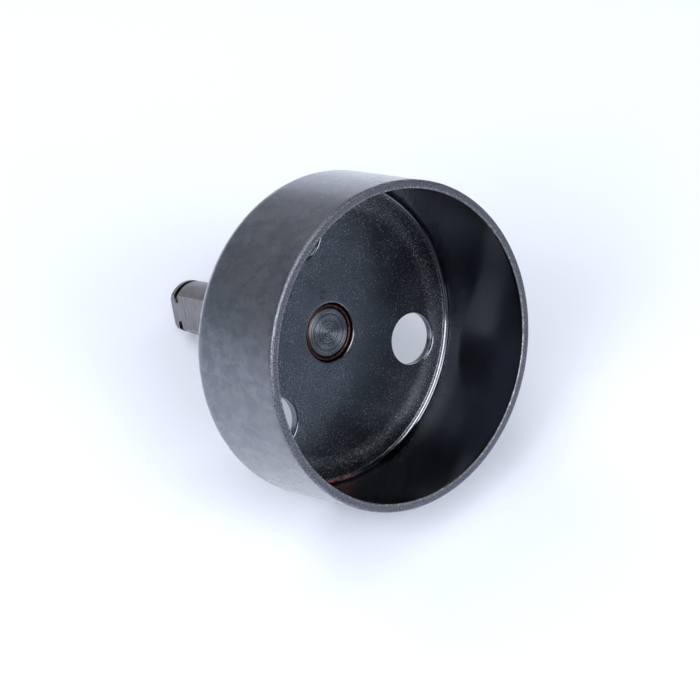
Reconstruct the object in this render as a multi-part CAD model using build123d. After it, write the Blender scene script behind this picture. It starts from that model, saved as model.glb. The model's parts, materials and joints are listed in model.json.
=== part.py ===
"""Cup-type oil filter wrench: a drawn steel cup, a turned drive shank and the braze that joins them.

Millimetres, +Z up. The origin is the centre of the cup's mouth, in the plane of the rim. The wrench
stands mouth down on its rim and the shank points up along +Z. One of the web's three holes lies on +X.
"""

import math
import os

from build123d import *

# Cup: drawn from one disc of sheet steel, so its web and wall are one piece
CUP_OUTER_DIAMETER = 76.0
WALL_THICKNESS = 2.0
CUP_DEPTH = 27.0                 # rim to the web's inner face
WEB_THICKNESS = 2.2
CORNER_INNER_RADIUS = 1.2        # draw radius where the wall meets the web
RIM_OUTER_ROUND = 0.6            # tumbled outer edge of the rim
RIM_INNER_CHAMFER = 0.25

# Holes punched through the web
HOLE_COUNT = 3
HOLE_DIAMETER = 12.4
HOLE_CIRCLE_DIAMETER = 50.6
HUB_HOLE_DIAMETER = 13.8
PUNCH_ROUND = 0.35               # roll-over on the side the punch enters, inside the cup
PUNCH_BREAK = 0.15               # broken edge on the far side

# Drive shank: 1/2 inch round bar with two milled flats, 3/8 inch across
SHANK_DIAMETER = 12.7
SHANK_TIP_HEIGHT = 83.0          # rim to the shank's free end
SHANK_RECESS = 0.6               # the inner end stops this far behind the web's inner face
SHANK_INNER_CHAMFER = 0.9
SHANK_TIP_CHAMFER = 0.6
FLAT_WIDTH_ACROSS = 9.5
FLAT_LENGTH = 20.0
FLAT_FACING = 159.0              # degrees about +Z from +X to the first flat's outward normal
GROOVE_DIAMETER = 10.6
GROOVE_WIDTH = 1.4
GROOVE_FROM_TIP = 1.6            # free end to the groove's near side

# Braze: fills the gap between shank and web, with a bead in front and a fillet behind
BEAD_CREST = 0.55                # the bead's crest lies this far behind the web's inner face
BEAD_EDGE = 0.95                 # its edges lie this far behind it
BRAZE_FILLET = 2.0               # leg of the fillet on the back of the web
BRAZE_FILLET_SAG = 0.23          # how much fuller it is than a true quarter round

CUP_RADIUS = CUP_OUTER_DIAMETER / 2
BORE_RADIUS = CUP_RADIUS - WALL_THICKNESS
CUP_HEIGHT = CUP_DEPTH + WEB_THICKNESS
CORNER_OUTER_RADIUS = CORNER_INNER_RADIUS + WALL_THICKNESS
HOLE_RADIUS = HOLE_DIAMETER / 2
HUB_HOLE_RADIUS = HUB_HOLE_DIAMETER / 2
SHANK_RADIUS = SHANK_DIAMETER / 2
SHANK_INNER_END = CUP_DEPTH + SHANK_RECESS
UPWARD = (Align.CENTER, Align.CENTER, Align.MIN)


def rim_edges(part, radius, height):
    """The part's circular edges of one radius that lie flat at one height."""
    circles = part.edges().filter_by(GeomType.CIRCLE)
    return [
        edge for edge in circles
        if math.isclose(edge.radius, radius, abs_tol=1e-4)
        and math.isclose(edge.arc_center.Z, height, abs_tol=1e-4)
    ]


def turned(outline):
    """A solid turned about +Z from a closed outline drawn as X = radius, Y = height."""
    return revolve(Plane.XZ * make_face(outline), Axis.Z)


def filter_cup():
    """Straight-walled cup, closed by a web with a hub hole and three round holes."""
    cup = Cylinder(CUP_RADIUS, CUP_HEIGHT, align=UPWARD)
    cup -= Cylinder(BORE_RADIUS, CUP_DEPTH, align=UPWARD)
    cup = fillet(rim_edges(cup, CUP_RADIUS, CUP_HEIGHT), CORNER_OUTER_RADIUS)
    cup = fillet(rim_edges(cup, BORE_RADIUS, CUP_DEPTH), CORNER_INNER_RADIUS)
    cup = fillet(rim_edges(cup, CUP_RADIUS, 0), RIM_OUTER_ROUND)
    cup = chamfer(rim_edges(cup, BORE_RADIUS, 0), RIM_INNER_CHAMFER)

    ring_of_holes = PolarLocations(HOLE_CIRCLE_DIAMETER / 2, HOLE_COUNT)
    cup -= [place * Cylinder(HOLE_RADIUS, 2 * CUP_HEIGHT, align=UPWARD) for place in ring_of_holes]
    cup -= Cylinder(HUB_HOLE_RADIUS, 2 * CUP_HEIGHT, align=UPWARD)
    for radius in (HOLE_RADIUS, HUB_HOLE_RADIUS):
        cup = fillet(rim_edges(cup, radius, CUP_DEPTH), PUNCH_ROUND)
    return chamfer(rim_edges(cup, HOLE_RADIUS, CUP_HEIGHT), PUNCH_BREAK)


def drive_shank():
    """Round bar with a chamfered inner end, and two flats and a ring groove at the free end."""
    length = SHANK_TIP_HEIGHT - SHANK_INNER_END
    shank = Pos(Z=SHANK_INNER_END) * Cylinder(SHANK_RADIUS, length, align=UPWARD)
    shank = chamfer(rim_edges(shank, SHANK_RADIUS, SHANK_INNER_END), SHANK_INNER_CHAMFER)
    shank = chamfer(rim_edges(shank, SHANK_RADIUS, SHANK_TIP_HEIGHT), SHANK_TIP_CHAMFER)

    groove = Cylinder(SHANK_DIAMETER, GROOVE_WIDTH, align=UPWARD)
    groove -= Cylinder(GROOVE_DIAMETER / 2, GROOVE_WIDTH, align=UPWARD)
    shank -= Pos(Z=SHANK_TIP_HEIGHT - GROOVE_FROM_TIP - GROOVE_WIDTH) * groove

    cutter = Box(SHANK_DIAMETER, 2 * SHANK_DIAMETER, 2 * FLAT_LENGTH)
    for facing in (FLAT_FACING, FLAT_FACING + 180):
        at_flat = Pos(X=FLAT_WIDTH_ACROSS / 2 + SHANK_DIAMETER / 2, Z=SHANK_TIP_HEIGHT)
        shank -= Rot(Z=facing) * at_flat * cutter
    return shank


def braze_joint():
    """Filler metal between shank and web, seen as a bead inside the cup and a fillet behind it."""
    bead_edge = CUP_DEPTH + BEAD_EDGE
    chamfer_radius = SHANK_RADIUS - SHANK_INNER_CHAMFER + (bead_edge - SHANK_INNER_END)
    crest = ((chamfer_radius + HUB_HOLE_RADIUS) / 2, CUP_DEPTH + BEAD_CREST)
    fillet_foot = SHANK_RADIUS + BRAZE_FILLET
    fillet_top = CUP_HEIGHT + BRAZE_FILLET
    inset = BRAZE_FILLET * math.cos(math.radians(45)) - BRAZE_FILLET_SAG
    outline = [
        ThreePointArc((HUB_HOLE_RADIUS, bead_edge), crest, (chamfer_radius, bead_edge)),
        Polyline(
            (chamfer_radius, bead_edge),
            (SHANK_RADIUS, SHANK_INNER_END + SHANK_INNER_CHAMFER),
            (SHANK_RADIUS, fillet_top),
        ),
        ThreePointArc(
            (SHANK_RADIUS, fillet_top),
            (fillet_foot - inset, fillet_top - inset),
            (fillet_foot, CUP_HEIGHT),
        ),
        Polyline((fillet_foot, CUP_HEIGHT), (HUB_HOLE_RADIUS, CUP_HEIGHT), (HUB_HOLE_RADIUS, bead_edge)),
    ]
    return turned(outline)


os.makedirs("parts", exist_ok=True)
for build_piece in (filter_cup, drive_shank, braze_joint):
    export_step(build_piece(), f"parts/{build_piece.__name__}.step")
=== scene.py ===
"""Looks for the cup-type oil filter wrench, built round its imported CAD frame.

Everything is in metres in the frame's own axes: +Z runs from the cup's mouth to the shank's free end, and
the rim lies in the plane Z = 0. Each of the three pieces is rebuilt as a finer mesh that stands for its CAD
node, with the small wear and unevenness of the real thing and a procedural material on every surface.

There are two stages, and the place that the camera stands at chooses between them. In the main view the
wrench leans on a table. In every other view it stands mouth down on a bench, under lamps of its own.
"""

import json
import math

import bmesh
import bpy
import numpy as np
from mathutils import Matrix, Vector, noise


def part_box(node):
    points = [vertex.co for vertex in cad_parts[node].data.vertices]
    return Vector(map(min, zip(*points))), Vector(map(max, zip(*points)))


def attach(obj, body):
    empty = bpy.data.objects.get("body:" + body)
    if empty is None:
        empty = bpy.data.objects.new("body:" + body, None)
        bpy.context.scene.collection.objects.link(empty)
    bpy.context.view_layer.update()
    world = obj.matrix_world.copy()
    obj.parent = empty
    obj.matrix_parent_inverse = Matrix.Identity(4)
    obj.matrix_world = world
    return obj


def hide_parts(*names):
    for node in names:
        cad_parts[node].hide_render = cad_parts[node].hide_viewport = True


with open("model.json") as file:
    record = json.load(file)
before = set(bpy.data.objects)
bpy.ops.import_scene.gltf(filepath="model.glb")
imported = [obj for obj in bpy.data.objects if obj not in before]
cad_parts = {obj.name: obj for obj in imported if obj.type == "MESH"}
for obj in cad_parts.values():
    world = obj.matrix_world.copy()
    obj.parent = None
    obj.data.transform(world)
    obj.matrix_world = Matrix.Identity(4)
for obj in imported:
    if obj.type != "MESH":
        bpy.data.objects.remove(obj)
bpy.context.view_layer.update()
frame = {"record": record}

MM = 0.001
MOUNTS = {mount["name"]: mount for mount in frame["record"]["mounts"]}

# Cup: main sizes from the frame, small rounds as in the CAD
CUP_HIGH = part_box("filter_cup")[1]
CUP_RADIUS = CUP_HIGH.x
CUP_HEIGHT = CUP_HIGH.z
BORE_RADIUS = MOUNTS["mouth"]["dims"]["r_mm"] * MM
WALL = CUP_RADIUS - BORE_RADIUS
WEB_FRONT = 2 * MOUNTS["web_holes"]["pos_m"][2] - CUP_HEIGHT
HOLE_COUNT = MOUNTS["web_holes"]["dims"]["count"]
HOLE_RADIUS = MOUNTS["web_holes"]["dims"]["hole_r_mm"] * MM
HOLE_CIRCLE = MOUNTS["web_holes"]["dims"]["pcd_mm"] * MM / 2
HUB_RADIUS = 6.9 * MM
CORNER_INNER = 1.2 * MM
CORNER_OUTER = CORNER_INNER + WALL
RIM_OUTER_ROUND = 0.6 * MM
RIM_INNER_ROUND = 0.25 * MM
PUNCH_ROUND = 0.35 * MM
PUNCH_BREAK = 0.15 * MM

# Shank, from the frame and the standard bar it is made of
SHANK_LOW, SHANK_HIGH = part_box("drive_shank")
SHANK_RADIUS = SHANK_HIGH.x
SHANK_TIP = SHANK_HIGH.z
SHANK_INNER_END = SHANK_LOW.z
INNER_CHAMFER = 0.9 * MM
TIP_CHAMFER = 0.6 * MM
FLAT_OFFSET = 9.5 * MM / 2
FLAT_LENGTH = 20 * MM
FLAT_FACING = math.radians(159)
GROOVE_RADIUS = 10.6 * MM / 2
GROOVE_NEAR = SHANK_TIP - 1.6 * MM
GROOVE_FAR = GROOVE_NEAR - 1.4 * MM

# Braze: its fillet from the frame, and its bead a little behind the web's front
BRAZE_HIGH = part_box("braze_joint")[1]
FILLET_FOOT = BRAZE_HIGH.x
FILLET_TOP = BRAZE_HIGH.z
BEAD_EDGE = WEB_FRONT + 0.95 * MM
BEAD_CREST = WEB_FRONT + 0.55 * MM

# In the main view the wrench lies on a table, leaning on its web's corner and its shank's tip
LEAN_SIDE = math.radians(-125.2)      # the side of the cup that faces up, as an angle about +Z from +X
CAMERA_AIM = Vector((-9.5, -0.2, 7.9)) * MM
CAMERA_DISTANCE = 0.7236
CAMERA_AZIMUTH = math.radians(5.18)   # of the line of sight, about +Z from +X
CAMERA_CLIMB = math.radians(50.2)     # of the line of sight, above the plane Z = 0
CAMERA_ROLL = math.radians(-79.0)
LENS = 164.6                          # millimetres
SENSOR_WIDTH = 36
LENS_SHIFT = (-0.0007, -0.015)


# ---------------------------------------------------------------------------------------------- meshes

WELD_DISTANCE = 0.002 * MM


class Surface:
    """Gathers grids of points into one mesh, welded where they meet."""

    def __init__(self):
        self.points = []
        self.faces = []
        self.finishes = []
        self.count = 0

    def grid(self, rings, finish):
        """Adds quads between neighbouring closed rings; rings is an array of rings by points by 3."""
        rings = np.asarray(rings, float)
        rows, columns = rings.shape[:2]
        index = np.arange(rows * columns).reshape(rows, columns) + self.count
        ahead = np.roll(index, -1, axis=1)
        quads = np.stack([index[:-1], ahead[:-1], ahead[1:], index[1:]], axis=-1).reshape(-1, 4)
        self.points.append(rings.reshape(-1, 3))
        self.faces.extend(quads.tolist())
        self.finishes.extend([finish] * len(quads))
        self.count += rows * columns

    def cap(self, ring, finish):
        """Closes a small ring with one face."""
        self.points.append(np.asarray(ring, float))
        self.faces.append(list(range(self.count, self.count + len(ring))))
        self.finishes.append(finish)
        self.count += len(ring)

    def build(self, name, finishes, shape=None):
        """Makes the object. finishes maps finish names to materials; shape moves each point a little."""
        mesh = bpy.data.meshes.new(name)
        mesh.from_pydata(np.concatenate(self.points).tolist(), [], self.faces)
        order = list(finishes)
        for material in finishes.values():
            mesh.materials.append(material)
        mesh.polygons.foreach_set("material_index", [order.index(f) for f in self.finishes])
        work = bmesh.new()
        work.from_mesh(mesh)
        bmesh.ops.remove_doubles(work, verts=work.verts, dist=WELD_DISTANCE)
        bmesh.ops.recalc_face_normals(work, faces=work.faces)
        if shape:
            for vertex in work.verts:
                vertex.co = shape(vertex.co)
        for face in work.faces:
            face.smooth = True
        work.to_mesh(mesh)
        work.free()
        piece = bpy.data.objects.new(name, mesh)
        bpy.context.scene.collection.objects.link(piece)
        return piece


def arc(centre, radius, start, stop, steps):
    """Points (radius, height) on an arc, with angles in degrees from the outward direction."""
    turns = np.radians(np.linspace(start, stop, steps + 1))
    return [(centre[0] + radius * math.cos(t), centre[1] + radius * math.sin(t)) for t in turns]


def line(start, stop, steps):
    """Points (radius, height) on a straight line, without the first."""
    start, stop = np.array(start), np.array(stop)
    return [tuple(start + (stop - start) * i / steps) for i in range(1, steps + 1)]


def lathe(profile, turns):
    """Rings about +Z through each (radius, height) of a profile."""
    profile = np.array(profile)
    rings = np.zeros((len(profile), len(turns), 3))
    rings[:, :, 0] = np.outer(profile[:, 0], np.cos(turns))
    rings[:, :, 1] = np.outer(profile[:, 0], np.sin(turns))
    rings[:, :, 2] = profile[:, 1:2]
    return rings


def smooth_noise(point, size, seed=0.0):
    """Noise from -1 to 1 whose lumps are about size across."""
    return noise.noise(Vector(point) / size + Vector((seed, 2.3 * seed, 0.7)))


def finish_piece(piece, node):
    """Puts a finished mesh on the one rigid body, in place of its CAD node."""
    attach(piece, "root")
    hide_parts(node)


# ------------------------------------------------------------------------------------------------- cup

SECTOR_STEPS = 96                     # points round the share of the web that holds one hole
SIDE_STEPS = 28                       # and along each of that share's straight sides
COLLAR_RINGS = 24                     # rings between a hole's edge and the outline of its share
CORNER_POINTS = 46
CORNER_START = BORE_RADIUS - CORNER_INNER
WEB_OUTER = CORNER_START - 1.6 * MM   # the shares of the web reach from WEB_INNER to here
WEB_INNER = HUB_RADIUS + 2.4 * MM
RING_START = 28.8 * MM                # the low ring pressed into the web, which ends at the corner
RING_CREST = 32.2 * MM
RING_HEIGHT = 0.14 * MM
CREASE_RADIUS = CORNER_START - 0.30 * MM
CREASE_HALF_WIDTH = 0.16 * MM
CREASE_DEPTH = 0.06 * MM
DRAW_LINE_TURN = 56                   # degrees up the corner from the wall
DRAW_LINE_HALF_WIDTH = 7
DRAW_LINE_DEPTH = 0.10 * MM
WAVE_HEIGHT = 0.009 * MM              # of the wall, which is never quite round
UNEVENNESS = 0.02 * MM                # of the web's front and the rim's face
NICK_DEPTH = 0.11 * MM
RIM_WEAR = 0.5 * MM                   # nicks reach this far from the mouth's edge


def sector_outline(height):
    """Closed outline of the share of the web round the hole on +X, ending where it starts."""
    half = math.pi / HOLE_COUNT
    sweep = np.linspace(-half, half, SECTOR_STEPS + 1)
    climb = np.linspace(WEB_OUTER, WEB_INNER, SIDE_STEPS + 1)
    outer = np.stack([WEB_OUTER * np.cos(sweep), WEB_OUTER * np.sin(sweep)], axis=1)
    far = np.outer(climb, [math.cos(half), math.sin(half)])
    inner = np.stack([WEB_INNER * np.cos(sweep), WEB_INNER * np.sin(sweep)], axis=1)[::-1]
    near = np.outer(climb, [math.cos(half), -math.sin(half)])[::-1]
    flat = np.concatenate([outer[:-1], far[:-1], inner[:-1], near[:-1]])
    return np.column_stack([flat, np.full(len(flat), height)])


def hole_ring(outline, radius, height):
    """A circle round the hole on +X with one point facing each point of the outline."""
    out = outline[:, :2] - [HOLE_CIRCLE, 0]
    out /= np.linalg.norm(out, axis=1)[:, None]
    ring = [HOLE_CIRCLE, 0] + radius * out
    return np.column_stack([ring, np.full(len(ring), height)])


def web_sector():
    """Rings from the web's front outline, through the hole's edge and wall, to its back outline."""
    front = sector_outline(WEB_FRONT)
    back = sector_outline(CUP_HEIGHT)
    front_edge = hole_ring(front, HOLE_RADIUS + PUNCH_ROUND, WEB_FRONT)
    back_edge = hole_ring(back, HOLE_RADIUS + PUNCH_BREAK, CUP_HEIGHT)
    spread = np.linspace(0, 1, COLLAR_RINGS + 1) ** 1.2
    face = [front_edge + (front - front_edge) * s for s in spread[::-1]]
    bend = arc((HOLE_RADIUS + PUNCH_ROUND, WEB_FRONT + PUNCH_ROUND), PUNCH_ROUND, 270, 180, 6)
    punched = [hole_ring(front, radius, height) for radius, height in bend]
    heights = np.linspace(WEB_FRONT + PUNCH_ROUND, CUP_HEIGHT - PUNCH_BREAK, 5)
    rest = [hole_ring(front, HOLE_RADIUS, height) for height in heights]
    rest += [back_edge + (back - back_edge) * s for s in spread]
    return [("web", np.array(face)), ("edge", np.array(punched)), ("web", np.array(rest))]


def drawn_corner(centre):
    """The rounded corner between web and wall, with the fine line that drawing leaves along it."""
    points = []
    for turn in np.linspace(90, 0, CORNER_POINTS):
        depth = DRAW_LINE_DEPTH * max(0.0, 1 - abs(turn - DRAW_LINE_TURN) / DRAW_LINE_HALF_WIDTH)
        points += arc(centre, CORNER_INNER + depth, turn, turn, 0)
    return points


def cup_profiles():
    """The turned parts of the cup, from the web's front, round the rim, to the web's back."""
    corner = (CORNER_START, WEB_FRONT - CORNER_INNER)
    shoulder = (CUP_RADIUS - CORNER_OUTER, CUP_HEIGHT - CORNER_OUTER)
    rim_inner = (BORE_RADIUS + RIM_INNER_ROUND, RIM_INNER_ROUND)
    rim_outer = (CUP_RADIUS - RIM_OUTER_ROUND, RIM_OUTER_ROUND)
    web = [(WEB_OUTER, WEB_FRONT)] + line((WEB_OUTER, WEB_FRONT), (corner[0], WEB_FRONT), 20)
    fillet = drawn_corner(corner)
    inside = [fillet[-1]] + line((BORE_RADIUS, corner[1]), (BORE_RADIUS, RIM_INNER_ROUND), 30)
    rim = arc(rim_inner, RIM_INNER_ROUND, 180, 270, 4)
    rim += line((rim_inner[0], 0), (rim_outer[0], 0), 8)
    rim += arc(rim_outer, RIM_OUTER_ROUND, 270, 360, 8)[1:]
    outside = [rim[-1]] + line((CUP_RADIUS, RIM_OUTER_ROUND), (CUP_RADIUS, shoulder[1]), 26)
    outside += arc(shoulder, CORNER_OUTER, 0, 90, 12)[1:]
    outside += line((shoulder[0], CUP_HEIGHT), (WEB_OUTER, CUP_HEIGHT), 3)
    hub = [(WEB_INNER, WEB_FRONT)] + line((WEB_INNER, WEB_FRONT), (HUB_RADIUS + PUNCH_ROUND, WEB_FRONT), 3)
    punched = arc((HUB_RADIUS + PUNCH_ROUND, WEB_FRONT + PUNCH_ROUND), PUNCH_ROUND, 270, 180, 6)
    sleeve = [punched[-1]] + line((HUB_RADIUS, WEB_FRONT + PUNCH_ROUND), (HUB_RADIUS, CUP_HEIGHT), 4)
    sleeve += line((HUB_RADIUS, CUP_HEIGHT), (WEB_INNER, CUP_HEIGHT), 4)
    return [
        ("web", web), ("corner", fillet), ("inside", inside), ("rim", rim), ("outside", outside),
        ("web", hub), ("edge", punched), ("web", sleeve),
    ]


def web_swell(point, radius):
    """Moves the web's front: drawing raised a low ring just inside the wall, with a crease beyond it."""
    depth = max(0.0, 1 - (point.z - WEB_FRONT) / PUNCH_ROUND)
    rise = np.interp(radius, (RING_START, RING_CREST, CORNER_START), (0, 1, 0))
    rise = 0.5 - 0.5 * math.cos(math.pi * rise)
    uneven = UNEVENNESS * smooth_noise(point, 9 * MM, 21)
    inside = np.interp(radius, (HUB_RADIUS, HUB_RADIUS + 3 * MM, RING_CREST, CORNER_START), (0, 1, 1, 0))
    crease = CREASE_DEPTH * max(0.0, 1 - abs(radius - CREASE_RADIUS) / CREASE_HALF_WIDTH)
    return point - Vector((0, 0, depth * (RING_HEIGHT * rise + uneven * inside - crease)))


def worn_cup(point):
    """Drawn sheet is never quite true: a slow waviness on the wall, and small nicks along the rim."""
    radius = math.hypot(point.x, point.y)
    if radius < CORNER_START:
        return web_swell(point, radius)
    out = Vector((point.x, point.y, 0)) / radius
    share = min(1.0, max(0.0, (WEB_FRONT - point.z) / WEB_FRONT))
    # some eleven waves round the wall, and less than one along it
    wave = WAVE_HEIGHT * smooth_noise((out.x * 40, out.y * 40, point.z * 600), 22, 3) * share
    near_rim = max(0.0, 1 - point.z / RIM_WEAR)
    nick = 0.0
    if near_rim and radius < BORE_RADIUS + RIM_WEAR:
        rough = smooth_noise(point, 1.1 * MM, 5) + 0.5 * smooth_noise(point, 2.6 * MM, 9)
        nick = near_rim * NICK_DEPTH * max(0.0, rough - 0.25)
    lift = UNEVENNESS * smooth_noise(point, 9 * MM, 7) * near_rim
    return point + out * (wave + nick) + Vector((0, 0, max(0.0, lift)))


def make_cup():
    """The cup: turned parts all round, and one share of the web for each hole."""
    surface = Surface()
    half = math.pi / HOLE_COUNT
    turns = np.linspace(-half, 2 * math.pi - half, HOLE_COUNT * SECTOR_STEPS, endpoint=False)
    for finish, profile in cup_profiles():
        surface.grid(lathe(profile, turns), finish)
    for hole in range(HOLE_COUNT):
        turn = np.array(Matrix.Rotation(2 * math.pi * hole / HOLE_COUNT, 3, "Z"))
        for finish, rings in web_sector():
            surface.grid(rings @ turn.T, finish)
    finishes = {
        "web": web_steel(),
        "edge": edge_steel(),
        "corner": corner_steel(),
        "inside": bore_steel(),
        "rim": rim_steel(),
        "outside": wall_steel(),
    }
    cup = surface.build("cup_shell", finishes, worn_cup)
    finish_piece(cup, "filter_cup")


# ----------------------------------------------------------------------------------------------- shank

END_CAP_RADIUS = 0.2 * MM             # one small face closes each end
BROKEN_EDGE = 0.18 * MM
SHARPEST_KEPT = math.radians(28)      # edges that bend less than this are not broken
SQUARE_ON = 0.9999                    # cosine between the flats' direction and a face that lies on them


def quarter_turns():
    """Angles from the middle of a flat to the middle of a round side, with one at every corner."""
    corners = [math.acos(FLAT_OFFSET / r) for r in (GROOVE_RADIUS, SHANK_RADIUS - TIP_CHAMFER, SHANK_RADIUS)]
    stops = [0.0, *corners, math.pi / 2]
    steps = (8, 6, 6, 22)
    turns = [np.linspace(a, b, n, endpoint=False) for a, b, n in zip(stops, stops[1:], steps)]
    return np.concatenate(turns)


def shank_turns():
    """Angles all round the shank, from the middle of a flat."""
    quarter = quarter_turns()
    half = np.concatenate([quarter, [math.pi / 2], math.pi - quarter[:0:-1]])
    return np.concatenate([half, half + math.pi])


def shank_ring(turns, radius, height, flats):
    """A ring round the shank, cut off straight on two sides where it has its flats."""
    reach = np.full(len(turns), radius)
    if flats:
        reach = np.minimum(reach, FLAT_OFFSET / np.maximum(np.abs(np.cos(turns)), 1e-6))
    facing = turns + FLAT_FACING
    return np.column_stack([reach * np.cos(facing), reach * np.sin(facing), np.full(len(turns), height)])


def shank_sections():
    """The shank from its inner end to its tip, as pairs of a finish and its (radius, height, flats) rings."""
    flat_start = SHANK_TIP - FLAT_LENGTH
    face_edge = SHANK_RADIUS - INNER_CHAMFER
    tip_edge = SHANK_RADIUS - TIP_CHAMFER
    inner_face = [(r, SHANK_INNER_END, False) for r in np.linspace(END_CAP_RADIUS, face_edge, 12)]
    chamfer = [(face_edge + d, SHANK_INNER_END + d, False) for d in np.linspace(0, INNER_CHAMFER, 4)]
    bar = [(SHANK_RADIUS, z, False) for z in np.linspace(SHANK_INNER_END + INNER_CHAMFER, flat_start, 30)]
    shoulder = [(SHANK_RADIUS, flat_start, False), (SHANK_RADIUS, flat_start, True)]
    flats = [(SHANK_RADIUS, z, True) for z in np.linspace(flat_start, GROOVE_FAR, 18)]
    groove = [
        (SHANK_RADIUS, GROOVE_FAR, True),
        (GROOVE_RADIUS, GROOVE_FAR, True),
        (GROOVE_RADIUS, (GROOVE_FAR + GROOVE_NEAR) / 2, True),
        (GROOVE_RADIUS, GROOVE_NEAR, True),
        (SHANK_RADIUS, GROOVE_NEAR, True),
    ]
    collar = [(SHANK_RADIUS, z, True) for z in np.linspace(GROOVE_NEAR, SHANK_TIP - TIP_CHAMFER, 4)]
    tip = [(SHANK_RADIUS - d, SHANK_TIP - TIP_CHAMFER + d, True) for d in np.linspace(0, TIP_CHAMFER, 5)]
    tip_face = [(r, SHANK_TIP, True) for r in np.linspace(tip_edge, END_CAP_RADIUS, 10)]
    return [
        ("end", inner_face), ("turned", chamfer), ("turned", bar), ("milled", shoulder), ("turned", flats),
        ("groove", groove), ("turned", collar), ("turned", tip), ("end", tip_face),
    ]


def make_shank():
    """The shank, with the milled finish on its flats and a bevel that breaks its edges."""
    turns = shank_turns()
    surface = Surface()
    sections = shank_sections()
    for finish, rings in sections:
        surface.grid([shank_ring(turns, *ring) for ring in rings], finish)
    (_, first_rings), (_, last_rings) = sections[0], sections[-1]
    surface.cap(shank_ring(turns, *first_rings[0]), "end")
    surface.cap(shank_ring(turns, *last_rings[-1]), "end")
    finishes = {
        "turned": turned_steel(),
        "milled": milled_steel(),
        "end": faced_steel(),
        "groove": groove_painted_shade(),
        "worn": worn_steel(),
    }
    shank = surface.build("shank_bar", finishes)
    facing = Vector((math.cos(FLAT_FACING), math.sin(FLAT_FACING), 0))
    for face in shank.data.polygons:
        if abs(face.normal.dot(facing)) > SQUARE_ON:
            face.material_index = list(finishes).index("milled")
    soften = shank.modifiers.new("broken edges", "BEVEL")
    soften.width = BROKEN_EDGE
    soften.segments = 3
    soften.limit_method = "ANGLE"
    soften.angle_limit = SHARPEST_KEPT
    soften.harden_normals = True
    soften.material = list(finishes).index("worn")
    finish_piece(shank, "drive_shank")


# ----------------------------------------------------------------------------------------------- braze

BRAZE_LAP = 0.03 * MM                 # the braze reaches this far into the steel it wets
FULLEST_TURN = math.radians(163)      # where the bead is fullest, which is over a short stretch only
FULLNESS_POWER = 14
CREST_RISE = 0.30 * MM                # of the bead there, towards the mouth
EDGE_RISE = 0.55 * MM
FILLET_SAG = 0.16 * MM


def braze_section(turn):
    """Closed section (radius, height) of the braze at one angle, lumpy where the metal froze."""
    place = Vector((math.cos(turn), math.sin(turn), 0)) * SHANK_RADIUS
    lump = smooth_noise(place, 2.2 * MM, 11)
    fine = smooth_noise(place, 0.8 * MM, 13)
    fullness = max(0.0, math.cos(turn - FULLEST_TURN)) ** FULLNESS_POWER
    crest = BEAD_CREST + (0.07 * lump + 0.09 * fine) * MM - CREST_RISE * fullness
    outer = BEAD_EDGE + 0.08 * MM * fine - EDGE_RISE * fullness
    foot = FILLET_FOOT + (0.35 * lump + 0.15 * fine - 0.3) * MM
    top = FILLET_TOP + (0.3 * smooth_noise(place, 3 * MM, 17) - 0.35) * MM
    bead_inner = SHANK_RADIUS - INNER_CHAMFER + (BEAD_EDGE - SHANK_INNER_END) - BRAZE_LAP
    sleeve_outer = HUB_RADIUS + BRAZE_LAP
    sleeve_inner = SHANK_RADIUS - BRAZE_LAP
    back = CUP_HEIGHT - BRAZE_LAP
    section = []
    for share in np.linspace(0, 1, 11):
        radius = bead_inner + (sleeve_outer - bead_inner) * share
        edge = BEAD_EDGE + (outer - BEAD_EDGE) * share
        bulge = math.sin(math.pi * share) ** 0.8
        section.append((radius, edge + (crest - edge) * bulge))
    section += line((sleeve_outer, outer), (sleeve_outer, back), 4)
    section += line((sleeve_outer, back), (foot, back), 3)
    for share in np.linspace(0, 1, 13)[1:]:
        swing = math.radians(90 * share)
        radius = foot - (foot - sleeve_inner) * math.sin(swing)
        height = top - (top - CUP_HEIGHT) * math.cos(swing)
        sag = FILLET_SAG * math.sin(math.pi * share)
        section.append((radius + sag, height + sag))
    section += line((sleeve_inner, top), (sleeve_inner, SHANK_INNER_END + INNER_CHAMFER), 3)
    return section


def make_braze():
    """The braze, from its section at each angle round the shank."""
    rings = []
    for turn in np.linspace(0, 2 * math.pi, 240, endpoint=False):
        rings.append([(r * math.cos(turn), r * math.sin(turn), z) for r, z in braze_section(turn)])
    rings.append(rings[0])
    surface = Surface()
    surface.grid(rings, "braze")
    braze = surface.build("braze_ring", {"braze": braze_metal()})
    finish_piece(braze, "braze_joint")


# ------------------------------------------------------------------------------------------- materials

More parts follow.
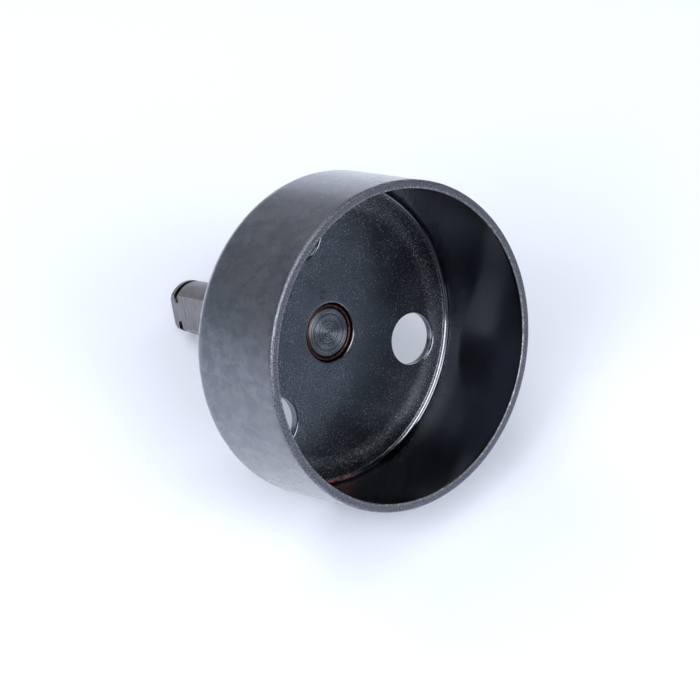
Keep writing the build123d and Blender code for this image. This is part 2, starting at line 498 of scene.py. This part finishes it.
class Graph:
    """Short form for building a node tree."""

    def __init__(self, tree):
        self.tree = tree
        tree.nodes.clear()

    def node(self, kind, *values, **settings):
        """Adds a node; values fill its inputs in order, as numbers or other nodes' outputs."""
        made = self.tree.nodes.new("ShaderNode" + kind)
        named = {}
        for key, value in settings.items():
            if key in made.bl_rna.properties:
                setattr(made, key, value)
            else:
                named[key.replace("_", " ").lower()] = value
        sockets = [socket for socket in made.inputs if socket.enabled]
        for socket, value in zip(sockets, values):
            self.fill(socket, value)
        for socket in sockets:
            if socket.name.lower() in named:
                self.fill(socket, named[socket.name.lower()])
        outputs = [socket for socket in made.outputs if socket.enabled]
        return outputs[0] if outputs else made

    def fill(self, socket, value):
        """Sets an input to a number or links it to another node's output; None leaves it as it is."""
        if value is None:
            return
        if isinstance(value, bpy.types.NodeSocket):
            self.tree.links.new(value, socket)
        else:
            socket.default_value = value

    def math(self, operation, *values, clamp=False):
        return self.node("Math", *values, operation=operation, use_clamp=clamp)

    def times(self, first, *others):
        """Product of two or more values."""
        for other in others:
            first = self.math("MULTIPLY", first, other)
        return first

    def plus(self, first, second):
        return self.math("ADD", first, second)

    def vector(self, operation, *values):
        return self.node("VectorMath", *values, operation=operation)

    def scaled(self, vector, x, y, z):
        return self.vector("MULTIPLY", vector, (x, y, z))

    def noise(self, vector, scale, detail, roughness, warp=0.0):
        return self.node("TexNoise", vector, Scale=scale, Detail=detail, Roughness=roughness, Distortion=warp)

    def specks(self, vector, scale, size, rarity):
        """Bright dots of random strength, one to a cell; rarity is the share of cells left dark."""
        cells = self.node("TexVoronoi", vector, Scale=scale)
        chance = self.node("SeparateColor", cells.node.outputs["Color"])
        return self.times(self.ramp(cells, size, 0.3 * size), self.ramp(chance, rarity, 1.0))

    def ramp(self, value, low, high, bottom=0.0, top=1.0):
        """Straight ramp: value at low gives bottom, value at high gives top, held beyond."""
        return self.node("MapRange", value, low, high, bottom, top, clamp=True)

    def band(self, value, edges):
        """1 inside a band of value and 0 outside; edges are where it starts, is full, fades and is gone."""
        start, full, fading, gone = edges
        return self.times(self.ramp(value, start, full), self.ramp(value, gone, fading))

    def mix(self, share, first, second):
        """The first colour where share is 0 and the second where it is 1."""
        return self.node("Mix", share, first, second, data_type="RGBA")

    def bump(self, height, distance, normal=None):
        """Bump whose height of 1 stands distance metres proud."""
        return self.node("Bump", Strength=1.0, Distance=distance, Height=height, Normal=normal)


def metal(name, paint):
    """A material that is metallic unless paint says otherwise.

    paint(graph, place) returns the Principled inputs; place is in millimetres.
    """
    material = bpy.data.materials.new(name)
    material.use_nodes = True
    graph = Graph(material.node_tree)
    coordinates = graph.tree.nodes.new("ShaderNodeTexCoord").outputs["Object"]
    place = graph.scaled(coordinates, 1 / MM, 1 / MM, 1 / MM)
    inputs = {"Metallic": 1.0}
    inputs.update(paint(graph, place))
    shader = graph.tree.nodes.new("ShaderNodeBsdfPrincipled")
    for key, value in inputs.items():
        graph.fill(shader.inputs[key], value)
    output = graph.tree.nodes.new("ShaderNodeOutputMaterial")
    graph.tree.links.new(shader.outputs[0], output.inputs["Surface"])
    return material


def colour(r, g, b):
    """Linear red, green and blue as the four numbers that a colour input takes."""
    return (r, g, b, 1.0)


# Greys that the finishes lighten or darken
OXIDE = (0.132, 0.142, 0.172)
WEB_OXIDE = (0.160, 0.190, 0.228)
BORE_OXIDE = (0.035, 0.039, 0.049)
STEEL = (0.170, 0.166, 0.174)

WALL_DARK = colour(0.086, 0.103, 0.132)
WALL_LIGHT = colour(0.168, 0.168, 0.184)
WALL_BLOTCH = colour(0.074, 0.096, 0.126)
WALL_WISP = colour(0.235, 0.255, 0.282)
SPECK = colour(0.62, 0.66, 0.71)
BROWN_STAIN = colour(0.065, 0.045, 0.035)
RED_STAIN = colour(0.28, 0.044, 0.026)
CORNER_DARK = colour(0.30, 0.32, 0.36)
CORNER_LIGHT = colour(0.44, 0.46, 0.50)
RIM_BARE = colour(0.40, 0.395, 0.375)
RIM_SPECK = colour(0.66, 0.65, 0.62)
END_DARK = colour(0.070, 0.082, 0.104)
END_LIGHT = colour(0.28, 0.30, 0.335)
BARE_STEEL = colour(0.58, 0.57, 0.56)
BURNT_BRAZE = colour(0.012, 0.010, 0.010)
COPPER_DARK = colour(0.030, 0.016, 0.014)
COPPER_LIGHT = colour(0.135, 0.062, 0.050)

STAIN_TURN = math.radians(-113)       # of the brown stain's middle, about +Z from +X
STAIN_RADIUS = 9.2                    # and its distance from the axis, in millimetres

# Bands of finish and of painted light: where each starts, is full, fades and is gone.
# Turns are shares of a full turn about +Z, with 0.5 on +X. The rest is in millimetres.
PAINTED_SHEEN_TURNS = (0.40, 0.45, 0.58, 0.62)           # the outer web has a painted sheen here
PAINTED_CORNER_HIGHLIGHT_TURNS = (0.39, 0.46, 0.59, 0.625)   # and the corner beyond it has a painted highlight here
# the second painted highlight line along the corner
PAINTED_LINE_TURNS = (0.50, 0.53, 0.60, 0.63)
PAINTED_LINE_RISE = (0.27, 0.31, 0.41, 0.47)               # from the web's front towards the mouth
RED_STAIN_TURNS = (0.678, 0.705, 0.745, 0.770)
BEAD_CROWN = (6.04, 6.18, 6.48, 6.62)             # from the axis


def tinted(scale, tint=OXIDE):
    """A grey made lighter or darker."""
    return colour(*(scale * c for c in tint))


def from_axis(graph, place):
    """Distance from the wrench's axis in millimetres."""
    return graph.vector("LENGTH", graph.scaled(place, 1, 1, 0))


def height_of(graph, place):
    """Height above the rim's plane in millimetres."""
    return graph.node("SeparateXYZ", place).node.outputs["Z"]


def turn_of(graph, place):
    """Angle about +Z as a share of a full turn, with 0.5 on +X."""
    return graph.node("TexGradient", place, gradient_type="RADIAL")


def wall_steel():
    """Outside of the cup: satin black oxide with pale wisps, fine scratches and painted shade near the web,
    under a thin film of oil.
    """
    def paint(graph, place):
        cloud = graph.noise(place, 0.08, 2, 0.5)
        wipe = graph.noise(graph.scaled(place, 1.0, 1.0, 0.55), 0.26, 3, 0.5)
        wisps = graph.noise(graph.scaled(place, 1.0, 1.0, 0.8), 0.42, 4, 0.55, warp=0.8)
        swell = graph.noise(place, 0.20, 1, 0.3)
        lines = graph.noise(graph.scaled(place, 2.2, 2.2, 0.06), 1.0, 3, 0.6)
        scratches = graph.noise(graph.scaled(place, 0.5, 2.0, 6.0), 0.55, 2, 0.4)
        tone = graph.plus(graph.times(cloud, 0.5), graph.times(wipe, 0.5))
        # the height ramp is painted shade: the wall is darker towards the web's end
        shade = graph.plus(tone, graph.ramp(height_of(graph, place), 4, 26, 0.04, -0.09))
        wispy = graph.times(graph.ramp(wisps, 0.44, 0.70), graph.ramp(cloud, 0.62, 0.40, 0.25, 1.0), 0.50)
        scratched = graph.times(graph.ramp(scratches, 0.69, 0.75), 0.26)
        base = graph.mix(graph.ramp(shade, 0.24, 0.76), WALL_DARK, WALL_LIGHT)
        base = graph.mix(graph.ramp(wisps, 0.48, 0.30, 0.0, 0.55), base, WALL_BLOTCH)
        base = graph.mix(wispy, base, WALL_WISP)
        base = graph.mix(scratched, base, tinted(2.2))
        normal = graph.bump(lines, 0.003 * MM)
        normal = graph.bump(swell, 0.020 * MM, normal=normal)
        return {
            "Base Color": base, "Roughness": graph.ramp(tone, 0.2, 0.8, 0.24, 0.31), "Normal": normal,
            "Coat Weight": 0.7, "Coat Roughness": graph.ramp(wipe, 0.2, 0.8, 0.14, 0.20),
            "Coat IOR": 1.6, "Coat Normal": normal,
        }
    return metal("oxide_outside", paint)


def bore_steel():
    """Inside wall of the cup: glossy black, with painted shade towards the web and on one side, and drawing
    lines.
    """
    def paint(graph, place):
        cloud = graph.noise(place, 0.16, 3, 0.5)
        lines = graph.noise(graph.scaled(place, 2.4, 2.4, 0.10), 1.0, 4, 0.6)
        grain = graph.noise(place, 5.0, 1, 0.5)
        # painted shade: the bore is painted near black towards the web and on one side
        painted_deep_shade = graph.ramp(height_of(graph, place), 14, 25, 0.0, 0.55)
        painted_side_shade = graph.ramp(turn_of(graph, place), 0.43, 0.35, 0.0, 0.60)
        base = graph.mix(graph.ramp(cloud, 0.35, 0.65), tinted(0.95, BORE_OXIDE), tinted(1.15, BORE_OXIDE))
        base = graph.mix(graph.math("MAXIMUM", painted_deep_shade, painted_side_shade), base, tinted(0.10, BORE_OXIDE))
        rough = graph.ramp(cloud, 0.3, 0.7, 0.16, 0.20)
        normal = graph.bump(lines, 0.0025 * MM)
        normal = graph.bump(grain, 0.0015 * MM, normal=normal)
        return {"Base Color": base, "Roughness": rough, "Normal": normal}
    return metal("oxide_bore", paint)


def web_steel():
    """The web: blue-black and mottled, with a bright speckle that is thickest on the front's low ring, and a
    painted sheen on its outer part on one side.
    """
    def paint(graph, place):
        away = from_axis(graph, place)
        turn = turn_of(graph, place)
        front = graph.ramp(height_of(graph, place), WEB_FRONT / MM + 1.0, WEB_FRONT / MM + 0.5)
        cloud = graph.noise(place, 0.14, 4, 0.6)
        drift = graph.noise(place, 0.5, 4, 0.6)
        mottle = graph.noise(place, 2.6, 2, 0.6)
        drawn = graph.node("CombineXYZ", away, graph.times(turn, 14.0), 0.0)
        streaks = graph.ramp(graph.noise(drawn, 2.2, 3, 0.6), 0.32, 0.68, 0.35, 1.5)
        crest = graph.times(graph.ramp(away, 28.6, 30.4), graph.ramp(away, 34.6, 31.6, 0.35, 1.0))
        ring = graph.times(crest, streaks, front)

        fine = graph.specks(place, 3.0, 0.58, 0.35)
        coarse = graph.specks(place, 1.7, 0.30, 0.80)
        dense = graph.plus(graph.ramp(away, 9, 26, 0.20, 1.20), graph.times(ring, 1.3))
        dense = graph.times(dense, graph.ramp(drift, 0.3, 0.6, 0.5, 1.1), graph.math("MAXIMUM", front, 0.35))
        spot = graph.plus(graph.times(fine, 0.30), graph.times(coarse, 0.38))
        spot = graph.math("MULTIPLY", spot, dense, clamp=True)

        # painted sheen: the outer web is painted lighter on one side
        painted_sheen = graph.times(graph.band(turn, PAINTED_SHEEN_TURNS), graph.ramp(away, 29.5, 32.5, 0.0, 0.70))
        haze_and_painted_sheen = graph.plus(graph.ramp(away, 22, 28, 0.0, 0.07), graph.ramp(away, 31.0, 34.5, 0.0, 0.10))
        haze_and_painted_sheen = graph.times(graph.plus(haze_and_painted_sheen, painted_sheen), front)
        haze_and_painted_sheen = graph.math("ADD", haze_and_painted_sheen, graph.times(ring, 0.15), clamp=True)

        base = graph.mix(graph.ramp(cloud, 0.35, 0.65), tinted(0.90, WEB_OXIDE), tinted(1.08, WEB_OXIDE))
        base = graph.mix(graph.ramp(mottle, 0.60, 0.40, 0.0, 0.65), base, tinted(0.45, WEB_OXIDE))
        base = graph.mix(haze_and_painted_sheen, base, SPECK)
        base = graph.mix(spot, base, SPECK)
        base = graph.mix(stain_mask(graph, place), base, BROWN_STAIN)
        rough = graph.plus(graph.ramp(cloud, 0.3, 0.7, 0.23, 0.27), graph.times(spot, 0.25))
        normal = graph.bump(mottle, 0.006 * MM)
        return {"Base Color": base, "Roughness": rough, "Normal": normal}
    return metal("oxide_web", paint)


def stain_mask(graph, place):
    """A small brown stain on the web, just outside the braze."""
    middle = (STAIN_RADIUS * math.cos(STAIN_TURN), STAIN_RADIUS * math.sin(STAIN_TURN), WEB_FRONT / MM)
    blotch = graph.noise(place, 1.1, 3, 0.6)
    away = graph.vector("DISTANCE", place, middle)
    return graph.times(graph.ramp(away, 1.7, 0.4), graph.ramp(blotch, 0.46, 0.58))


def edge_steel():
    """Punched edges of the web's holes, burnished by the punch."""
    def paint(graph, place):
        rub = graph.noise(place, 1.6, 4, 0.65)
        base = graph.mix(graph.ramp(rub, 0.3, 0.7), tinted(1.0), tinted(1.7))
        return {"Base Color": base, "Roughness": graph.ramp(rub, 0.3, 0.7, 0.05, 0.08)}
    return metal("oxide_edge", paint)


def corner_steel():
    """Corner round the web: painted shade, black, beyond a painted highlight line that is brightest on one
    side, with a second painted highlight line on one side and a red stain.
    """
    def paint(graph, place):
        rub = graph.noise(place, 1.6, 4, 0.65)
        rise = graph.math("SUBTRACT", WEB_FRONT / MM, height_of(graph, place))
        turn = turn_of(graph, place)
        # painted highlight: two thin light lines along the corner, brightest on one side; the rest is painted
        # shade, black
        painted_second_line = graph.times(graph.band(rise, PAINTED_LINE_RISE), graph.band(turn, PAINTED_LINE_TURNS))
        painted_lines = graph.math("MAXIMUM", graph.ramp(rise, 0.16, 0.11), painted_second_line)
        dull = graph.mix(graph.ramp(rub, 0.3, 0.7), tinted(0.8), tinted(1.4))
        bright = graph.mix(graph.ramp(rub, 0.3, 0.7), CORNER_DARK, CORNER_LIGHT)
        steel = graph.mix(graph.band(turn, PAINTED_CORNER_HIGHLIGHT_TURNS), dull, bright)
        base = graph.mix(painted_lines, tinted(0.9, BORE_OXIDE), steel)
        low = graph.times(graph.band(turn, RED_STAIN_TURNS), graph.ramp(rise, 0.28, 0.14))
        stain = graph.times(low, graph.ramp(rub, 0.38, 0.60, 0.0, 0.85))
        base = graph.mix(stain, base, RED_STAIN)
        rough = graph.plus(graph.ramp(rub, 0.3, 0.7, 0.05, 0.08), graph.times(stain, 0.4))
        return {"Base Color": base, "Roughness": rough, "Metallic": graph.math("SUBTRACT", 1.0, stain)}
    return metal("oxide_corner", paint)


def rim_steel():
    """Rim: trimmed edge of the sheet, grainy, with oxide rubbed off in specks along both of its edges."""
    def paint(graph, place):
        away = from_axis(graph, place)
        rub = graph.noise(place, 1.3, 4, 0.7)
        grain = graph.noise(place, 2.8, 3, 0.7)
        inner = graph.ramp(away, BORE_RADIUS / MM + 0.62, BORE_RADIUS / MM + 0.25)
        outer = graph.ramp(away, CUP_RADIUS / MM - 0.55, CUP_RADIUS / MM - 0.25)
        worn = graph.math("MAXIMUM", inner, graph.times(outer, 0.5))
        patchy = graph.times(graph.ramp(grain, 0.42, 0.62), graph.ramp(rub, 0.35, 0.60, 0.25, 1.0))
        dots = graph.times(inner, graph.specks(place, 2.0, 0.62, 0.35))
        base = graph.mix(graph.ramp(grain, 0.38, 0.62), tinted(0.50), tinted(1.75))
        base = graph.mix(graph.times(worn, patchy, 0.75), base, RIM_BARE)
        base = graph.mix(dots, base, RIM_SPECK)
        normal = graph.bump(grain, 0.030 * MM)
        return {"Base Color": base, "Roughness": graph.ramp(rub, 0.3, 0.7, 0.38, 0.50), "Normal": normal}
    return metal("oxide_rim", paint)


def turned_steel():
    """Round of the shank: fine turning rings under a thin brown-grey oxide."""
    def paint(graph, place):
        rings = graph.noise(graph.scaled(place, 0.02, 0.02, 9.0), 1.0, 3, 0.7)
        cloud = graph.noise(place, 0.35, 4, 0.6)
        base = graph.mix(graph.ramp(cloud, 0.3, 0.7), tinted(1.15, STEEL), tinted(1.60, STEEL))
        normal = graph.bump(rings, 0.006 * MM)
        return {"Base Color": base, "Roughness": graph.ramp(cloud, 0.3, 0.7, 0.30, 0.42), "Normal": normal}
    return metal("shank_turned", paint)


def milled_steel():
    """Flats: milling streaks run across the shank."""
    def paint(graph, place):
        streaks = graph.noise(graph.scaled(place, 0.16, 0.16, 5.0), 1.0, 4, 0.75)
        cloud = graph.noise(place, 0.5, 3, 0.6)
        base = graph.mix(graph.ramp(streaks, 0.35, 0.65), tinted(0.90, STEEL), tinted(1.95, STEEL))
        normal = graph.bump(streaks, 0.016 * MM)
        return {"Base Color": base, "Roughness": graph.ramp(cloud, 0.3, 0.7, 0.30, 0.44), "Normal": normal}
    return metal("shank_milled", paint)


def faced_steel():
    """Ends of the shank: facing marks in circles, which stretch each highlight into a bow tie."""
    def paint(graph, place):
        away = from_axis(graph, place)
        circles = graph.noise(graph.node("CombineXYZ", away, 0, 0), 2.4, 2, 0.55)
        tangent = graph.tree.nodes.new("ShaderNodeTangent")
        tangent.direction_type = "RADIAL"
        tangent.axis = "Z"
        base = graph.mix(graph.ramp(circles, 0.35, 0.65), END_DARK, END_LIGHT)
        normal = graph.bump(circles, 0.012 * MM)
        return {
            "Base Color": base, "Roughness": 0.27, "Anisotropic": 0.95, "Anisotropic Rotation": 0.25,
            "Tangent": tangent.outputs[0], "Normal": normal,
        }
    return metal("shank_end", paint)


def worn_steel():
    """Broken edges of the shank, rubbed back to brighter metal."""
    def paint(graph, place):
        rub = graph.noise(place, 1.4, 4, 0.7)
        base = graph.mix(graph.ramp(rub, 0.36, 0.54), tinted(1.6, STEEL), BARE_STEEL)
        return {"Base Color": base, "Roughness": 0.36}
    return metal("shank_edge", paint)


def groove_painted_shade():
    """Ring groove: painted shade, dark all through, with a random mottle."""
    def paint(graph, place):
        groove_mottle = graph.noise(place, 1.2, 4, 0.7)
        # painted shade: the groove's inside is painted dark
        base = graph.mix(graph.ramp(groove_mottle, 0.35, 0.65), tinted(0.12, STEEL), tinted(0.30, STEEL))
        return {"Base Color": base, "Roughness": graph.ramp(groove_mottle, 0.3, 0.7, 0.4, 0.6)}
    return metal("shank_groove_shade", paint)


def braze_metal():
    """Copper braze: brown on the bead's crown and on the fillet behind the web, burnt black between."""
    def paint(graph, place):
        burn = graph.noise(place, 1.5, 4, 0.7)
        crest = graph.noise(place, 4.0, 3, 0.6)
        away = graph.plus(from_axis(graph, place), graph.ramp(burn, 0.3, 0.7, -0.12, 0.12))
        fillet = graph.ramp(away, HUB_RADIUS / MM, HUB_RADIUS / MM + 0.3)
        clean = graph.math("MAXIMUM", graph.band(away, BEAD_CROWN), fillet)
        copper = graph.mix(graph.ramp(burn, 0.35, 0.65), COPPER_DARK, COPPER_LIGHT)
        base = graph.mix(clean, BURNT_BRAZE, copper)
        rough = graph.ramp(crest, 0.3, 0.7, 0.28, 0.5)
        normal = graph.bump(crest, 0.02 * MM)
        return {"Base Color": base, "Roughness": rough, "Normal": normal}
    return metal("braze_copper", paint)


# ------------------------------------------------------------------------------------ stage and camera

FLOOR_COLOUR = colour(0.80, 0.85, 0.94)
BACKDROP = colour(0.90, 0.94, 1.0)
SKY_COLOUR = colour(0.88, 0.95, 1.08)
LAMP_COLOUR = colour(1.01, 1.005, 1.03)
UP = Vector((0, 0, 1))
SAME_PLACE = 0.05                     # a camera this near the main one's place takes the main view
TABLE_BEYOND = 0.30                   # the table's middle lies this far behind the wrench
TABLE_RIGHT = 0.22                    # and this far to its right
FAR_WALL = 0.45                       # brightness of the studio low down beyond the table
FAR_TOP = (0.14, 0.26)                # sines of the climbs between which it fades out
NEAR_WALL = 0.285                     # brightness low down on the camera's side
NEAR_TOP = (0.40, 0.60)
BENCH_WALLS = 0.30                    # brightness of the bench's surroundings at the horizon
BENCH_CEILING = 0.45                  # and overhead
CEILING_EDGE = (0.12, 0.62)           # sines of the climbs between which the one turns into the other
BENCH_BELOW = 0.55                    # how much brighter it is underneath, for views from below
BELOW_EDGE = (-0.30, -0.50)

# Lamps over the table: degrees to the right of the far side, degrees above the table, size, watts
TABLE_LAMP_DISTANCE = 1.2
TABLE_LAMPS = {
    "near_left": (-134, 38, 0.70, 6.9),
    "near_right": (130, 38, 0.70, 5.9),
    "far_left": (-45, 40, 0.70, 4.9),
    "far_right": (45, 40, 0.70, 2.8),
    "low_left": (-160, 25, 0.70, 2.0),
    "behind_camera": (180, 60, 1.20, 9.2),
}

# Lamps over the bench: direction, distance, size, watts
BENCH_LAMPS = {
    "bench_side": ((-0.35, 0.95, 1.0), 1.3, 0.8, 10.5),
    "bench_key": ((-0.7, -0.6, 0.8), 1.3, 0.6, 4.6),
    "bench_fill": ((0.9, 0.4, 0.7), 1.5, 0.6, 2.8),
}


def table_plane():
    """(normal, a point) of the table under the leaning wrench: it touches the web's corner and the tip."""
    corner = Vector((CUP_RADIUS - CORNER_OUTER, CUP_HEIGHT - CORNER_OUTER))
    tip = Vector((SHANK_RADIUS, SHANK_TIP - TIP_CHAMFER))
    gap = tip - corner
    lean = math.atan2(-gap.x, gap.y) + math.asin(CORNER_OUTER / gap.length)
    up = Vector((math.cos(LEAN_SIDE), math.sin(LEAN_SIDE), 0))
    normal = up * math.cos(lean) - UP * math.sin(lean)
    return normal, -up * tip.x + Vector((0, 0, tip.y))


def line_of_sight():
    """Direction that the main camera looks in."""
    flat = math.cos(CAMERA_CLIMB)
    return Vector((flat * math.cos(CAMERA_AZIMUTH), flat * math.sin(CAMERA_AZIMUTH), math.sin(CAMERA_CLIMB)))


CAMERA_PLACE = CAMERA_AIM - line_of_sight() * CAMERA_DISTANCE


def camera_place(graph):
    """The place the picture is taken from, in world axes."""
    return graph.node(
        "VectorTransform", (0, 0, 0), vector_type="POINT", convert_from="CAMERA", convert_to="WORLD"
    )


def from_main_camera(graph):
    """1 when the picture is taken from the main camera's place, and 0 from anywhere else."""
    away = graph.vector("DISTANCE", camera_place(graph), tuple(CAMERA_PLACE))
    return graph.math("LESS_THAN", away, SAME_PLACE)


def in_stage(graph, main_view):
    """1 in the main view and 0 in all the others, or the other way round where main_view is False."""
    here = from_main_camera(graph)
    return here if main_view else graph.math("SUBTRACT", 1.0, here)


def make_floor(name, normal, point, solid, reach, main_view):
    """Pale floor that fades out between the radii solid and reach, and shows only from above."""
    mesh = bpy.data.meshes.new(name)
    corners = [(-reach, -reach, 0), (reach, -reach, 0), (reach, reach, 0), (-reach, reach, 0)]
    mesh.from_pydata(corners, [], [(0, 1, 2, 3)])
    floor = bpy.data.objects.new(name, mesh)
    bpy.context.scene.collection.objects.link(floor)
    floor.rotation_mode = "QUATERNION"
    floor.rotation_quaternion = normal.to_track_quat("Z", "Y")
    floor.location = point
    material = bpy.data.materials.new(name)
    material.use_nodes = True
    graph = Graph(material.node_tree)
    coordinates = graph.tree.nodes.new("ShaderNodeTexCoord").outputs["Object"]
    away = graph.vector("LENGTH", coordinates)
    level = graph.vector("DOT_PRODUCT", camera_place(graph), tuple(normal))
    above = graph.math("GREATER_THAN", level, normal.dot(point))
    cover = graph.times(in_stage(graph, main_view), above, graph.ramp(away, reach, solid))
    paper = graph.node("BsdfDiffuse", FLOOR_COLOUR)
    clear = graph.node("BsdfTransparent")
    output = graph.tree.nodes.new("ShaderNodeOutputMaterial")
    graph.tree.links.new(graph.node("MixShader", cover, clear, paper), output.inputs["Surface"])
    mesh.materials.append(material)


def make_world(table_up, near_side):
    """The surroundings that light the wrench in each stage, behind a backdrop that only the camera sees.

    Round the table only the lower part of the studio is lit; on the camera's side it is dimmer and reaches
    higher. Round the bench all of it is lit.
    """
    world = bpy.data.worlds.new("studio")
    bpy.context.scene.world = world
    world.use_nodes = True
    graph = Graph(world.node_tree)
    direction = graph.tree.nodes.new("ShaderNodeTexCoord").outputs["Generated"]
    height = graph.vector("DOT_PRODUCT", direction, tuple(table_up))
    far_wall = graph.node("MapRange", height, *FAR_TOP, FAR_WALL, 0.0, interpolation_type="SMOOTHSTEP")
    near_wall = graph.node("MapRange", height, *NEAR_TOP, NEAR_WALL, 0.0, interpolation_type="SMOOTHSTEP")
    side = graph.ramp(graph.vector("DOT_PRODUCT", direction, tuple(near_side)), -0.1, 0.1)
    table_sky = graph.node("MapRange", side, 0.0, 1.0, far_wall, near_wall)
    climb = graph.vector("DOT_PRODUCT", direction, tuple(UP))
    overhead = graph.ramp(climb, *CEILING_EDGE, BENCH_WALLS, BENCH_CEILING)
    underfoot = graph.ramp(climb, *BELOW_EDGE, 0.0, BENCH_BELOW)
    bench_sky = graph.plus(overhead, underfoot)
    sky = graph.node("MapRange", from_main_camera(graph), 0.0, 1.0, bench_sky, table_sky)
    seen = graph.tree.nodes.new("ShaderNodeLightPath").outputs["Is Camera Ray"]
    lit = graph.node("Background", SKY_COLOUR, sky)
    plain = graph.node("Background", BACKDROP, 1.0)
    output = graph.tree.nodes.new("ShaderNodeOutputWorld")
    graph.tree.links.new(graph.node("MixShader", seen, lit, plain), output.inputs["Surface"])


def make_light(name, direction, distance, size, watts, main_view):
    """A soft square lamp that looks at the wrench and burns in one of the two stages."""
    lamp = bpy.data.lights.new(name, "AREA")
    lamp.shape = "SQUARE"
    lamp.size = size
    lamp.energy = watts
    lamp.use_nodes = True
    graph = Graph(lamp.node_tree)
    glow = graph.node("Emission", LAMP_COLOUR, in_stage(graph, main_view))
    output = graph.tree.nodes.new("ShaderNodeOutputLight")
    graph.tree.links.new(glow, output.inputs["Surface"])
    light = bpy.data.objects.new(name, lamp)
    bpy.context.scene.collection.objects.link(light)
    centre = Vector((0, 0, CUP_HEIGHT))
    light.location = centre + direction.normalized() * distance
    light.rotation_mode = "QUATERNION"
    light.rotation_quaternion = direction.to_track_quat("Z", "Y")


def make_camera():
    """The main camera, looking into the cup's mouth from above the table."""
    sight = line_of_sight()
    level = (-sight).to_track_quat("Z", "Y")
    camera = bpy.data.objects.new("camera", bpy.data.cameras.new("camera"))
    bpy.context.scene.collection.objects.link(camera)
    camera.data.lens = LENS
    camera.data.sensor_width = SENSOR_WIDTH
    camera.data.shift_x, camera.data.shift_y = LENS_SHIFT
    camera.data.clip_start = 0.01
    camera.data.clip_end = 50
    camera.location = CAMERA_PLACE
    camera.rotation_mode = "QUATERNION"
    camera.rotation_quaternion = level @ Matrix.Rotation(CAMERA_ROLL, 3, "Z").to_quaternion()
    bpy.context.scene.camera = camera


def make_stage():
    """Both stages: their floors, surroundings and lamps, and the main camera."""
    table_up, table_point = table_plane()
    sight = line_of_sight()
    far = (sight - sight.dot(table_up) * table_up).normalized()
    right = far.cross(table_up)
    table_middle = table_point + TABLE_BEYOND * far + TABLE_RIGHT * right
    make_floor("table", table_up, table_middle, solid=0.45, reach=0.75, main_view=True)
    make_floor("bench", UP, Vector((0, 0, 0)), solid=0.2, reach=0.9, main_view=False)
    make_world(table_up, -far)
    make_camera()

    for name, (side, climb, size, watts) in TABLE_LAMPS.items():
        side, climb = math.radians(side), math.radians(climb)
        flat = far * math.cos(side) + right * math.sin(side)
        direction = flat * math.cos(climb) + table_up * math.sin(climb)
        make_light(name, direction, TABLE_LAMP_DISTANCE, size, watts, main_view=True)
    for name, (direction, distance, size, watts) in BENCH_LAMPS.items():
        make_light(name, Vector(direction), distance, size, watts, main_view=False)


make_cup()
make_shank()
make_braze()
make_stage()

view = bpy.context.scene.view_settings
view.view_transform = "Standard"
view.look = "None"
